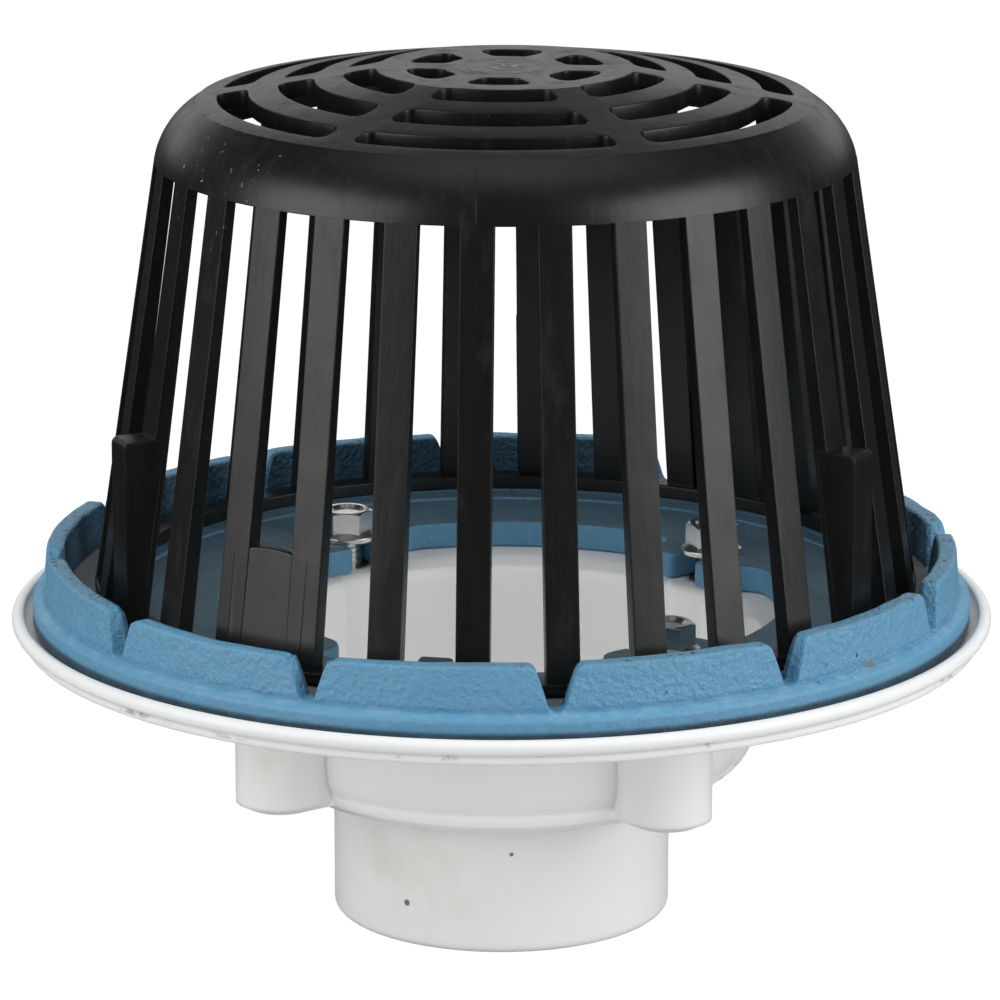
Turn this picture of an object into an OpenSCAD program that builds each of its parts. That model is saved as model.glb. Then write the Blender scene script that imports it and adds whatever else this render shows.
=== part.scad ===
// Flat roof drain: drain body, clamping ring with a toothed gravel guard,
// dome strainer, hex flange bolts and the threaded inserts they screw into.
// The outlet hub stands on Z = 0. Angles are measured from the front (-Y)
// towards the right (+X).

/* [Outlet hub] */
// Outside diameter of the outlet hub
hub_d = 103; // [100:0.5:112]
// Height of the hub from its end to the bottom of the sump
hub_h = 40.5; // [36:0.5:60]
// Rounding of the hub's lower edge
hub_edge_r = 2.5; // [1:0.5:3]
// Outside diameter of the pipe that glues into the hub
pipe_d = 88.9; // [84:0.1:90]
// Gap on the diameter between pipe and socket
pipe_clearance = 0.4; // [0.2:0.1:0.8]
// Depth of the pipe socket
socket_depth = 36; // [25:1:36]
// Bore of the waterway above the socket
waterway_d = 77.9; // [60:0.1:80]

/* [Sump] */
// Outside diameter of the sump bowl
sump_d = 151; // [140:1:156]
// Wall thickness of the sump and its lobes
sump_wall = 4; // [3:0.5:6]
// Outside rounding between the sump's wall and its bottom
sump_corner_r = 19; // [12:1:22]
// Rounding of the sump's mouth where it meets the pan
mouth_r = 7; // [3:1:9]
// Direction of the two side lobes
lobe_angle = 81.5; // [75:0.5:88]
// Distance from the axis to the centre of a side lobe
lobe_offset = 54; // [48:1:57]
// Outside radius of a side lobe at its round bottom
lobe_r = 25; // [22:1:27]
// Outside radius of a side lobe at the pan
lobe_top_r = 30; // [26:1:32]

/* [Roof flange] */
// Overall diameter of the flange over its rim
flange_d = 298; // [280:1:320]
// Height of the pan floor above the hub's end
pan_z = 90; // [80:1:110]
// Thickness of the pan
pan_t = 4.5; // [3:0.5:6]
// Outside diameter of the seat that the clamping ring presses on
seat_d = 220; // [210:1:230]
// Rise of the pan outside the seat
pan_step = 1.5; // [0.5:0.1:2.5]
// Thickness of the pan outside the seat
rim_t = 3.3; // [2.5:0.1:4]
// Height of the bead's top above the seat
rim_rise = 6.2; // [5:0.1:9]
// Rounding of the rim's lower edge
rim_r = 1.8; // [1:0.1:2.5]
// How far the rim's lower edge lies inside the bead
rim_inset = 2.8; // [1:0.1:4]
// Radius of the bead's round
bead_r = 2.2; // [1.5:0.1:2.6]
// Width of the bead
bead_w = 3.6; // [3:0.1:4.2]
// Width of the hollow slope from the bead down to the pan
trough_w = 3; // [1.5:0.1:4]

/* [Bolts and bosses] */
// Diameter of the bolt circle
bolt_circle_d = 164; // [156:1:170]
// Direction of the first bolt
bolt_angle = 36.5; // [30:0.5:45]
// Number of bolts, bosses and lugs
bolt_count = 4; // [4:1:4]
// Diameter of a bolt boss
boss_d = 27; // [22:1:30]
// Height of a boss below the pan floor
boss_h = 44; // [34:1:50]
// Thread diameter of a bolt
bolt_d = 9.5; // [8:0.5:10]
// Length of a bolt below its head
bolt_len = 34; // [26:1:40]
// Width across the flats of the hex
hex_flats = 14.3; // [12:0.1:16]
// Height of the whole head with its flange
head_h = 9.5; // [7:0.5:11]
// Diameter of the head's flange
head_flange_d = 19.4; // [18:0.2:22]
// Thickness of the head's flange
head_flange_t = 2; // [1.5:0.1:3]
// Outside diameter of a threaded insert
insert_d = 14; // [13:0.5:16]
// Length of a threaded insert
insert_len = 20; // [12:1:24]
// Gap on the diameter between a bolt and its insert
thread_clearance = 0.1; // [0.05:0.05:0.4]
// Depth of the blind hole in a boss
boss_hole_depth = 36; // [30:1:38]

/* [Clamping ring] */
// Gap between the ring's ledge and the flange's bead
ring_gap = 2.9; // [2.5:0.1:4]
// Gap under the ring outside its seat
seat_clearance = 0.2; // [0.1:0.1:0.6]
// Width of the ring's ledge outside the crown's teeth
ledge_w = 4.4; // [3:0.1:6]
// Thickness of the ring's inner web
web_t = 8.5; // [6:0.5:11]
// Height of the raised land that carries the dome
land_rise = 3; // [2:0.5:5]
// How far the raised land reaches inside the dome's foot
land_lip = 1.3; // [0.5:0.1:3]
// Diameter of the ring's opening
opening_d = 172; // [166:1:180]
// Height of the crown's teeth above the land
crown_h = 14; // [9:0.5:20]
// Thickness of the crown's wall
crown_t = 5.5; // [4:0.5:7]
// How much wider the crown is at its foot, on the radius
crown_draft = 1.2; // [0.4:0.1:2]
// Number of notches in the crown
notch_count = 12; // [8:1:16]
// Direction of the first notch
notch_angle = 6.5; // [0:0.5:15]
// Width of a notch at its top
notch_top_w = 14; // [10:0.5:18]
// Radius of a notch's round bottom
notch_r = 2.8; // [2:0.1:4]
// Width of a bolt lug
lug_w = 37; // [33:1:40]
// Distance from the axis to a lug's inner end
lug_reach = 70; // [66:0.5:72]
// Rounding of a lug's inner corners
lug_corner_r = 7; // [4:0.5:9]
// Rounding where a lug runs into the ring
lug_fillet_r = 7; // [4:0.5:9]
// Gap on the width between a bolt and its slot
slot_clearance = 2; // [1:0.5:3]
// Direction of the small casting pad on the web
pad_angle = -12.5; // [-20:0.5:-5]
// Width of the casting pad
pad_w = 10; // [6:0.5:14]
// Depth of the casting pad towards the crown
pad_depth = 6; // [4:0.5:9]
// Height of the casting pad above the web
pad_h = 4; // [2:0.5:6]

/* [Dome strainer] */
// Height of the dome from its foot to its crest
dome_h = 159.5; // [150:0.5:200]
// Gap between the crown's inner wall and the foot ring
dome_gap = 7.8; // [5.5:0.1:10]
// Width of the foot ring
foot_w = 8.5; // [6:0.5:10]
// Thickness of the foot ring
foot_t = 4.2; // [3:0.1:6]
// Rounding of the foot ring's lower edge
foot_edge_r = 2.5; // [1:0.5:2.8]
// Outside diameter of the shoulder band at its lower edge
band_d = 212; // [204:1:220]
// Height of the band's lower edge below the crest
band_drop = 27; // [24:0.5:34]
// Rounding of the shoulder
shoulder_r = 15; // [10:0.5:18]
// Draft of the band, on the radius, from its lower edge to the shoulder
band_draft = 0.6; // [0:0.1:1]
// Thickness of the dome's shell
shell_t = 4; // [3:0.5:5]
// Radius of the curve of the dome's top
crest_r = 480; // [400:10:800]
// Number of ribs
rib_count = 32; // [24:1:36]
// Direction of the first rib
rib_angle = -4; // [-8:0.25:4]
// Width of a rib
rib_w = 9.8; // [7:0.1:12]
// Radial depth of a rib at the foot
rib_foot_t = 5.8; // [4:0.1:7]
// Radial depth of a rib at the band
rib_top_t = 3.5; // [2.5:0.1:4]
// Height of the two webs above the foot ring
web_h = 33; // [20:1:60]
// Thickness of a web
panel_t = 3; // [2:0.5:4]
// How far the stacking tabs stand out of the foot ring
tab_reach = 3.7; // [2:0.1:4.5]
// Width of a stacking tab
tab_w = 10.4; // [8:0.1:12]
// Height of the stacking tabs above the dome's foot
tab_h = 62; // [40:1:70]

/* [Top grid] */
// Number of slots in each row
slot_count = 6; // [6:1:8]
// Inner radius of the row of small holes
hole_in = 18.5; // [15:0.5:20]
// Radial width of a small hole
hole_w = 10; // [7:0.5:11]
// Inner radius of the first row of slots
row1_in = 35.5; // [34:0.5:37]
// Radial width of the first row of slots
row1_w = 13.5; // [10:0.5:15]
// Inner radius of the second row of slots
row2_in = 59; // [56:0.5:60]
// Radial width of the second row of slots
row2_w = 10.5; // [8:0.5:12]
// Inner radius of the third row of slots
row3_in = 78.5; // [76:0.5:79]
// Radial width of the third row of slots
row3_w = 9.8; // [7:0.1:10.5]
// Width of the spokes between the slots
spoke_w = 10; // [7:0.5:12]
// Rounding of the slots' corners
slot_corner_r = 3; // [1:0.5:3.3]

/* [Hidden] */
$fn = 96;
ARC_STEPS = 8;
CUT = 1;                 // how far a cutting solid runs past the face it cuts

// body
pan_under = pan_z - pan_t;
pan_high = pan_z + pan_step;
rim_top = pan_z + rim_rise;
rim_under = pan_high - rim_t;
flange_r = flange_d / 2;
bead_in = flange_r - bead_w;
seat_r = seat_d / 2;
boss_bottom = pan_z - boss_h;
bolt_r = bolt_circle_d / 2;
sump_in = sump_d / 2 - sump_wall;
sump_floor = hub_h + sump_wall;
sump_in_corner = sump_corner_r - sump_wall;
lobe_z = hub_h + lobe_r - sump_wall / 2;
socket_d = pipe_d + pipe_clearance;

// clamping ring
web_top = pan_z + web_t;
land_z = web_top + land_rise;
crown_top = land_z + crown_h;
ring_r = bead_in - ring_gap;
crown_r = ring_r - ledge_w;          // at the teeth's tips
crown_in = crown_r - crown_t;
opening_r = opening_d / 2;
slot_w = bolt_d + slot_clearance;

// dome
foot_z = land_z;
crest_z = foot_z + dome_h;
foot_r = crown_in - dome_gap;
land_r = foot_r - foot_w - land_lip;
tab_r = foot_r + tab_reach;
foot_top = foot_z + foot_t;
band_z = crest_z - band_drop;
band_r = band_d / 2;
shoulder_x = band_r - band_draft;
rib_pitch = 360 / rib_count;
cone_slope = (foot_r - band_r) / (band_z - foot_top);
web_gap = -2.5;          // the web fills this rib space, counted in pitches
tab_gaps = [-5.5, 5.5, 15.5];

// ---------- shared helpers ----------

// Points along an arc, both ends included
function arc(x, y, r, a0, a1, n = ARC_STEPS) =
    [for (i = [0:n]) let (a = a0 + (a1 - a0) * i / n) [x + r * cos(a), y + r * sin(a)]];

// Turns a shape drawn along +X to a direction counted from the front
module facing(a) rotate([0, 0, a - 90]) children();

module at_bolts() {
    for (i = [0:bolt_count - 1])
        facing(bolt_angle + i * 360 / bolt_count) translate([bolt_r, 0, 0]) children();
}

// ---------- drain body ----------

// Outside of the hub and sump, up to the pan
function body_outside() = concat(
    [[0, 0]],
    arc(hub_d / 2 - hub_edge_r, hub_edge_r, hub_edge_r, -90, 0, 4),
    [[hub_d / 2, hub_h]],
    arc(sump_d / 2 - sump_corner_r, hub_h + sump_corner_r, sump_corner_r, -90, 0),
    [[sump_d / 2, pan_z - CUT], [0, pan_z - CUT]]);

// The dished flange with its beaded rim, cut off at the sump's mouth
function flange_profile() =
    let (hollow_z = rim_top - 1, lip_x = flange_r - rim_inset - rim_r, step = 2 * pan_step)
    concat(
        [[sump_in, pan_under], [seat_r, pan_under], [seat_r + 2 * step, rim_under]],
        arc(lip_x, rim_under + rim_r, rim_r, -90, 0, 4),
        arc(flange_r - bead_r, rim_top - bead_r, bead_r, -50, 130),
        [for (i = [0:ARC_STEPS]) let (t = 90 * i / ARC_STEPS)
            [bead_in - trough_w * (1 - cos(t)), hollow_z - (hollow_z - pan_high) * sin(t)]],
        [[seat_r + step, pan_high], [seat_r, pan_z], [sump_in, pan_z]]);

module flange() rotate_extrude() polygon(flange_profile());

// A bowl-shaped lobe; the outside and, smaller by the wall, the inside
module lobe(shrink, top) {
    for (a = [lobe_angle, lobe_angle + 180])
        facing(a) translate([lobe_offset, 0, 0]) {
            translate([0, 0, lobe_z]) sphere(r = lobe_r - shrink);
            translate([0, 0, lobe_z])
                cylinder(h = top - lobe_z, r1 = lobe_r - shrink, r2 = lobe_top_r - shrink);
        }
}

// Round boss with straight sides running back to the sump
module boss() {
    height = pan_z - CUT - boss_bottom;
    translate([0, 0, boss_bottom]) cylinder(h = height, d = boss_d);
    translate([-boss_d / 2, -boss_d / 2, boss_bottom]) cube([boss_d / 2, boss_d, height]);
}

// Water space of the sump with its rounded floor and mouth
function sump_inside() = concat(
    [[0, sump_floor]],
    arc(sump_in - sump_in_corner, sump_floor + sump_in_corner, sump_in_corner, -90, 0),
    arc(sump_in + mouth_r, pan_z - mouth_r, mouth_r, 180, 90),
    [[sump_in + mouth_r, pan_z + CUT], [0, pan_z + CUT]]);

module drain_body() color("white") {
    difference() {
        union() {
            rotate_extrude() polygon(body_outside());
            flange();
            lobe(0, pan_under + CUT);
            at_bolts() boss();
        }
        rotate_extrude() polygon(sump_inside());
        difference() {
            lobe(sump_wall, pan_z + CUT);
            at_bolts() boss_keep();
        }
        translate([0, 0, -CUT]) cylinder(h = socket_depth + CUT, d = socket_d);
        translate([0, 0, -CUT]) cylinder(h = sump_floor + 2 * CUT, d = waterway_d);
        at_bolts() {
            translate([0, 0, pan_z - insert_len]) cylinder(h = insert_len + CUT, d = insert_d);
            translate([0, 0, pan_z - boss_hole_depth])
                cylinder(h = boss_hole_depth, d = bolt_d + slot_clearance);
        }
    }
    intersection() {
        at_bolts() boss_wall();
        translate([0, 0, boss_bottom]) cylinder(h = boss_h, r = sump_in + mouth_r + CUT);
    }
}

// Metal of a boss that the lobes must not eat into
module boss_keep()
    translate([0, 0, boss_bottom]) cylinder(h = boss_h + 2 * CUT, d = boss_d);

// Tube of plastic round each insert, where the boss bulges into the sump
module boss_wall() {
    difference() {
        translate([0, 0, boss_bottom]) cylinder(h = boss_h, d = boss_d);
        translate([0, 0, pan_z - insert_len]) cylinder(h = insert_len + CUT, d = insert_d);
        translate([0, 0, pan_z - boss_hole_depth])
            cylinder(h = boss_hole_depth, d = bolt_d + slot_clearance);
    }
}

// ---------- clamping ring ----------

// Half section of the casting: web, land, crown and ledge
function ring_profile() = concat(
    [[opening_r, pan_z], [seat_r - 1, pan_z],
     [seat_r + 2 * pan_step - 1, pan_high + seat_clearance],
     [ring_r - 1, pan_high + seat_clearance], [ring_r, pan_high + seat_clearance + 1]],
    arc(ring_r - 3, land_z - 4, 3, 0, 70, 4),
    [[crown_r + crown_draft, land_z]],
    [[crown_r, crown_top], [crown_in, crown_top]],
    arc(crown_in - crown_draft - 2, land_z + 2, 2, 0, -90, 4),
    [[land_r + 1, land_z], [land_r - 1, web_top], [opening_r, web_top]]);

// Outline of one lug in plan, with fillets into the round opening
module lug_shape() {
    half = lug_w / 2;
    fillet_y = half + lug_fillet_r;
    fillet_x = sqrt(pow(opening_r - lug_fillet_r, 2) - pow(fillet_y, 2));
    reach = opening_r / (opening_r - lug_fillet_r);
    difference() {
        polygon(concat(
            arc(lug_reach + lug_corner_r, -half + lug_corner_r, lug_corner_r, 180, 270),
            [[fillet_x, -half], [fillet_x * reach, -fillet_y * reach],
             [opening_r + 2, -fillet_y * reach], [opening_r + 2, fillet_y * reach],
             [fillet_x * reach, fillet_y * reach], [fillet_x, half]],
            arc(lug_reach + lug_corner_r, half - lug_corner_r, lug_corner_r, 90, 180)));
        for (side = [-1, 1]) translate([fillet_x, side * fillet_y]) circle(r = lug_fillet_r);
        translate([bolt_r, 0]) circle(d = slot_w);
        translate([lug_reach - CUT, -slot_w / 2]) square([bolt_r - lug_reach + CUT, slot_w]);
    }
}

// V-shaped notch with a round bottom, standing upright and cut outwards
module notch() {
    height = crown_h + CUT;
    rise = notch_top_w / 2 - notch_r;
    translate([crown_in - 3 * CUT, 0, land_z]) rotate([90, 0, 90])
        linear_extrude(crown_t + crown_draft + 5 * CUT) {
            translate([0, notch_r]) circle(r = notch_r);
            polygon([[-notch_r, notch_r], [notch_r, notch_r],
                     [notch_r + rise, height], [-notch_r - rise, height]]);
        }
}

module clamping_ring() color("steelblue") {
    difference() {
        union() {
            rotate_extrude() polygon(ring_profile());
            for (i = [0:bolt_count - 1])
                facing(bolt_angle + i * 360 / bolt_count)
                    translate([0, 0, pan_z]) linear_extrude(web_t) lug_shape();
            facing(pad_angle) translate([opening_r, -pad_w / 2, pan_z])
                cube([pad_depth, pad_w, web_t + pad_h]);
        }
        for (i = [0:notch_count - 1]) facing(notch_angle + i * 360 / notch_count) notch();
        at_bolts() translate([0, 0, pan_z - CUT]) cylinder(h = web_t + 2 * CUT, d = slot_w);
    }
}

// ---------- dome strainer ----------

// Section of the shell: curved top, round shoulder and band
function shell_profile(inset) =
    let (x = shoulder_x - shoulder_r, crest_in = crest_r - inset,
         tilt = asin(x / (crest_r - shoulder_r)),
         z = crest_z - crest_r + (crest_r - shoulder_r) * cos(tilt))
    concat(
        [for (i = [0:ARC_STEPS - 1]) let (a = tilt * i / ARC_STEPS)
            [crest_in * sin(a), crest_z - crest_r + crest_in * cos(a)]],
        arc(x, z, shoulder_r - inset, 90 - tilt, 0),
        [[band_r - inset, band_z]]);

module shell() {
    rotate_extrude()
        polygon(concat(shell_profile(0), [for (i = [len(shell_profile(shell_t)) - 1:-1:0])
            shell_profile(shell_t)[i]]));
}

// Outline of an arc-shaped slot with rounded corners, between two spokes
function slot_outline(r0, r1, sector, spoke) =
    let (c = slot_corner_r, ri = r0 + c, ro = r1 - c,
         ai = sector / 2 - asin((spoke / 2 + c) / ri),
         ao = sector / 2 - asin((spoke / 2 + c) / ro))
    concat(
        [for (i = [0:ARC_STEPS]) let (a = -ao + 2 * ao * i / ARC_STEPS) [r1 * cos(a), r1 * sin(a)]],
        arc(ro * cos(ao), ro * sin(ao), c, ao, sector / 2 + 90, 3),
        arc(ri * cos(ai), ri * sin(ai), c, sector / 2 + 90, ai + 180, 3),
        [for (i = [0:ARC_STEPS]) let (a = ai - 2 * ai * i / ARC_STEPS) [r0 * cos(a), r0 * sin(a)]],
        arc(ri * cos(ai), -ri * sin(ai), c, 180 - ai, 270 - sector / 2, 3),
        arc(ro * cos(ao), -ro * sin(ao), c, 270 - sector / 2, 360 - ao, 3));

module slot_row(r_in, width, spoke) {
    sector = 360 / slot_count;
    for (i = [0:slot_count - 1])
        facing(rib_angle + i * sector) translate([0, 0, band_z])
            linear_extrude(band_drop + CUT)
                polygon(slot_outline(r_in, r_in + width, sector, spoke));
}

// Radius of the sloping outer face at a given height
function cone_r(z) = foot_r - cone_slope * (z - foot_top);

// One flat rib, from inside the foot ring to inside the band
module rib() {
    top = band_z + 4;
    face = 0.2;          // the flat face stays inside the round band
    rotate([90, 0, 0]) linear_extrude(rib_w, center = true)
        polygon([[cone_r(foot_z + 1) - rib_foot_t, foot_z + 1],
                 [foot_r - face, foot_z + 1],
                 [foot_r - face, foot_top],
                 [cone_r(band_z) - face, band_z],
                 [cone_r(band_z) - face - cone_slope, top],
                 [cone_r(top) - rib_top_t, top]]);
}

// Low panel with an arched top that closes one space between two ribs
module web_panel() {
    recess = 0.8;
    half = PI * foot_r / rib_count;
    low = foot_z + 1;
    arch = 2;
    intersection() {
        rotate([90, 0, 0]) linear_extrude(2 * half, center = true)
            polygon([[cone_r(low) - recess - panel_t, low],
                     [cone_r(low) - recess, low],
                     [cone_r(foot_top + web_h) - recess, foot_top + web_h],
                     [cone_r(foot_top + web_h) - recess - panel_t, foot_top + web_h]]);
        rotate([90, 0, 90]) linear_extrude(foot_r)
            polygon(concat([[-half, low]],
                [for (i = [0:ARC_STEPS]) let (t = 1 - 2 * i / ARC_STEPS)
                    [half * t, foot_top + web_h - arch * t * t]], [[-half, low]]));
    }
}

// Upright tab with a straight outer edge; the next dome in a stack rests on it
module stacking_tab() {
    low = foot_z + 1;
    top = foot_z + tab_h;
    back = 3.5;
    rotate([90, 0, 0]) linear_extrude(tab_w, center = true)
        polygon([[cone_r(low) - back, low], [foot_r - foot_edge_r, low],
                 [tab_r, low + 2 * foot_edge_r], [tab_r, top - 1.5],
                 [tab_r - 1.5, top], [cone_r(top) - back, top]]);
}

module dome_strainer() color("dimgray") {
    difference() {
        shell();
        slot_row(hole_in, hole_w, spoke_w);
        slot_row(row1_in, row1_w, spoke_w);
        slot_row(row2_in, row2_w, spoke_w);
        slot_row(row3_in, row3_w, spoke_w);
    }
    rotate_extrude() polygon(concat(
        [[foot_r - foot_w, foot_z]],
        arc(foot_r - foot_edge_r, foot_z + foot_edge_r, foot_edge_r, -90, 0, 4),
        [[foot_r, foot_top], [foot_r - foot_w, foot_top]]));
    for (i = [0:rib_count - 1]) facing(rib_angle + i * rib_pitch) rib();
    for (side = [0, 180]) facing(rib_angle + web_gap * rib_pitch + side) web_panel();
    for (gap = tab_gaps) facing(rib_angle + gap * rib_pitch) stacking_tab();
}

// ---------- fasteners ----------

// Hex flange bolt with its head standing on the clamping ring
module flange_bolt() {
    corner_d = hex_flats / cos(30);
    chamfer = (corner_d - hex_flats) / 2;
    translate([0, 0, web_top]) {
        cylinder(h = head_flange_t, d = head_flange_d);
        intersection() {
            cylinder(h = head_h, d = corner_d, $fn = 6);
            union() {
                cylinder(h = head_h - chamfer, d = corner_d + CUT);
                translate([0, 0, head_h - chamfer])
                    cylinder(h = chamfer, d1 = corner_d + CUT, d2 = hex_flats);
            }
        }
        translate([0, 0, -bolt_len]) cylinder(h = bolt_len, d = bolt_d);
    }
}

module clamp_bolts() color("silver") at_bolts() flange_bolt();

module threaded_inserts() color("goldenrod") {
    at_bolts() translate([0, 0, pan_z - insert_len]) difference() {
        cylinder(h = insert_len, d = insert_d);
        translate([0, 0, -CUT])
            cylinder(h = insert_len + 2 * CUT, d = bolt_d + thread_clearance);
    }
}

drain_body();
clamping_ring();
dome_strainer();
clamp_bolts();
threaded_inserts();
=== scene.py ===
# %% [markdown]
# # A flat roof drain
#
# The packed model already holds every piece at its true size and place. This lesson dresses it: it
# models the four pieces that can be seen with the softened edges and small marks of the real ones,
# gives each a finish, and lights them in a plain studio. It starts by loading the frame and keeping
# the boxes of its pieces, whose sizes the dressed pieces are built from; the dressed drain's box is
# printed at the end.

# %% Load the frame
import math

import bmesh
import bpy
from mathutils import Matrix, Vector, noise


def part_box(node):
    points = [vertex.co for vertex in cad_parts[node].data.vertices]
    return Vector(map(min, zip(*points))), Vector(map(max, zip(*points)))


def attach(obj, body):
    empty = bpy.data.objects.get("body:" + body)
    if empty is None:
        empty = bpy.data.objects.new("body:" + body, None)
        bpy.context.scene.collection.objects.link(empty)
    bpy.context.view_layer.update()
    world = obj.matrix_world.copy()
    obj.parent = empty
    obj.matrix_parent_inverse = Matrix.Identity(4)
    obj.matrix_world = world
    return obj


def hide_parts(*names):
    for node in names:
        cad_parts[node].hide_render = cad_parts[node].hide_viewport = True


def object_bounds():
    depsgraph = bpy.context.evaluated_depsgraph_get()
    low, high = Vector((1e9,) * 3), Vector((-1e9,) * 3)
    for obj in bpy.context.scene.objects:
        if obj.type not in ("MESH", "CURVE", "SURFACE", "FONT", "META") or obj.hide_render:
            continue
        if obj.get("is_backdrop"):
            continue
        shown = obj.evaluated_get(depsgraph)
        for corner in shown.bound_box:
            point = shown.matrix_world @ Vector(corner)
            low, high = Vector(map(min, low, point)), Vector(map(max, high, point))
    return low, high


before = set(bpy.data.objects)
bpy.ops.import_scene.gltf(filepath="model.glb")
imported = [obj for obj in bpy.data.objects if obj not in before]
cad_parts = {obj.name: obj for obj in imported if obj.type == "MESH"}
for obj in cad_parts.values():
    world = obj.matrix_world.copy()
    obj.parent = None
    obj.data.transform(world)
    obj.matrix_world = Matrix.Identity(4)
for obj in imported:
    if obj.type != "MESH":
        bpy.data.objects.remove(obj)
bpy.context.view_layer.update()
MM = 0.001
body_low, body_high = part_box("drain_body")
ring_low, ring_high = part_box("clamping_ring")
dome_low, dome_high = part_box("dome_strainer")
bolt_low, bolt_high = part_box("clamp_bolts")

# %% [markdown]
# ## Camera
#
# The drain stands on its outlet hub, about a metre and a half from a long lens that looks a little
# down on it. A long lens keeps the round pieces from bulging towards the viewer, as in a catalogue.
# The camera is made first, because everything after it is judged through it.

# %% Camera
camera_at, look_down, film, lens = (-0.00045, -1.644, 0.5526), 14.49, 36, 201.24
bpy.ops.object.camera_add(location=camera_at, rotation=(math.radians(90 - look_down), 0, 0))
camera = bpy.context.object
camera.name = "camera"
camera.data.sensor_width = film
camera.data.lens = lens
bpy.context.scene.camera = camera
print("camera stands", round(Vector(camera_at).length, 2), "m away and looks down by", look_down, "degrees")

# %% [markdown]
# ## A few tools of the bench
#
# Most of the drain is turned round one axis or cut from a flat outline. Both start from the same
# move: a circle with as many corners as the outline has points is added, and each corner is put in
# its place. A turned piece then spins that section round the axis, and a flat one extrudes it.
# Corners are rounded while the outline is drawn, because a bevel after that has less to do.

# %% Selecting and editing
def fresh():
    """Leaves edit mode and deselects everything, CAD nodes included."""
    if bpy.context.object and bpy.context.object.mode != "OBJECT":
        bpy.ops.object.mode_set(mode="OBJECT")
    bpy.ops.object.select_all(action="DESELECT")


def pick(piece):
    """Selects one piece alone and makes it the active one."""
    fresh()
    piece.select_set(True)
    bpy.context.view_layer.objects.active = piece


def edit(piece):
    """Opens one piece in edit mode with all of it selected."""
    pick(piece)
    bpy.ops.object.mode_set(mode="EDIT")
    bpy.ops.mesh.select_mode(type="EDGE")
    bpy.ops.mesh.select_all(action="SELECT")


def pick_edges(piece, wanted):
    """In edit mode, selects the edges for which wanted(edge) is true, and counts them."""
    shape = bmesh.from_edit_mesh(piece.data)
    bpy.ops.mesh.select_all(action="DESELECT")
    found = [e for e in shape.edges if wanted(e)]
    for e in found:
        e.select_set(True)
    bmesh.update_edit_mesh(piece.data)
    return len(found)


def close_up(piece):
    """Merges the seam and turns every face outwards."""
    edit(piece)
    bpy.ops.mesh.remove_doubles(threshold=1e-6)
    bpy.ops.mesh.normals_make_consistent(inside=False)
    fresh()


def open_edges(piece):
    """Counts the edges that don't lie between exactly two faces."""
    shape = bmesh.new()
    shape.from_mesh(piece.data)
    found = sum(not e.is_manifold for e in shape.edges)
    shape.free()
    return found


fresh()
print("selected after a fresh start:", len(bpy.context.selected_objects))

# %% Outlines
def arc(x, y, r, start, end, steps):
    """Points along an arc, in degrees, both ends included."""
    turn = [math.radians(start + (end - start) * i / steps) for i in range(steps + 1)]
    return [(x + r * math.cos(t), y + r * math.sin(t)) for t in turn]


def rounded(corners, steps=4):
    """A closed outline from corners (x, y, radius), each rounded by its own radius."""
    points = []
    for i, (x, y, r) in enumerate(corners):
        here = Vector((x, y))
        back = (Vector(corners[i - 1][:2]) - here).normalized()
        ahead = (Vector(corners[(i + 1) % len(corners)][:2]) - here).normalized()
        if r == 0:
            points.append((x, y))
            continue
        half = back.angle(ahead) / 2
        centre = here + (back + ahead).normalized() * r / math.sin(half)
        first = here + back * r / math.tan(half) - centre
        last = here + ahead * r / math.tan(half) - centre
        start = math.atan2(first.y, first.x)
        sweep = (math.atan2(last.y, last.x) - start + math.pi) % (2 * math.pi) - math.pi
        points += [(centre.x + r * math.cos(start + sweep * k / steps),
                    centre.y + r * math.sin(start + sweep * k / steps)) for k in range(steps + 1)]
    return points


def draw(name, points, fill=False):
    """A loop through 3-D points given in millimetres."""
    fresh()
    bpy.ops.mesh.primitive_circle_add(vertices=len(points), fill_type="NGON" if fill else "NOTHING")
    piece = bpy.context.object
    piece.name = piece.data.name = name
    for vertex, point in zip(piece.data.vertices, points):
        vertex.co = Vector(point) * MM
    return piece


square = rounded([(0, 0, 2), (10, 0, 2), (10, 10, 2), (0, 10, 2)])
print("a square with rounded corners has", len(square), "points")

# %% Turned and flat pieces
turn_steps = 144


def turn(name, section, steps=turn_steps, closed=True):
    """Spins a section (radius, height) right round the Z axis.

    The edge that closes the section is left out if it is open or if that edge is on the axis.
    """
    piece = draw(name, [(r, 0, z) for r, z in section])
    edit(piece)
    if not closed or section[0][0] == section[-1][0] == 0:
        pick_edges(piece, lambda e: {v.index for v in e.verts} == {0, len(section) - 1})
        bpy.ops.mesh.delete(type="EDGE")
        bpy.ops.mesh.select_all(action="SELECT")
    bpy.ops.mesh.spin(steps=steps, angle=2 * math.pi, center=(0, 0, 0), axis=(0, 0, 1), use_auto_merge=True)
    close_up(piece)
    return piece


def slab(name, points, rise):
    """Fills a flat outline of 3-D points and extrudes it along rise, in millimetres."""
    piece = draw(name, points, fill=True)
    edit(piece)
    bpy.ops.mesh.extrude_region_move(TRANSFORM_OT_translate={"value": tuple(Vector(rise) * MM)})
    close_up(piece)
    return piece


print("a turned piece has", turn_steps, "steps of", 360 / turn_steps, "degrees")

# %% Combining, copying and finishing
def modify(piece, kind, **settings):
    """Adds one modifier with its settings and applies it."""
    pick(piece)
    added = piece.modifiers.new(kind.lower(), kind)
    for key, value in settings.items():
        setattr(added, key, value)
    bpy.ops.object.modifier_apply(modifier=added.name)


def combine(piece, other, how="UNION"):
    """Adds another solid to a piece, or cuts it away, and removes the other."""
    modify(piece, "BOOLEAN", operation=how, object=other, solver="EXACT")
    bpy.data.objects.remove(other)


def soften(piece, width, segments=2, angle=40):
    """Bevels every edge that turns by more than the angle."""
    modify(piece, "BEVEL", width=width * MM, segments=segments, limit_method="ANGLE",
           angle_limit=math.radians(angle), use_clamp_overlap=True, miter_outer="MITER_ARC")


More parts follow.
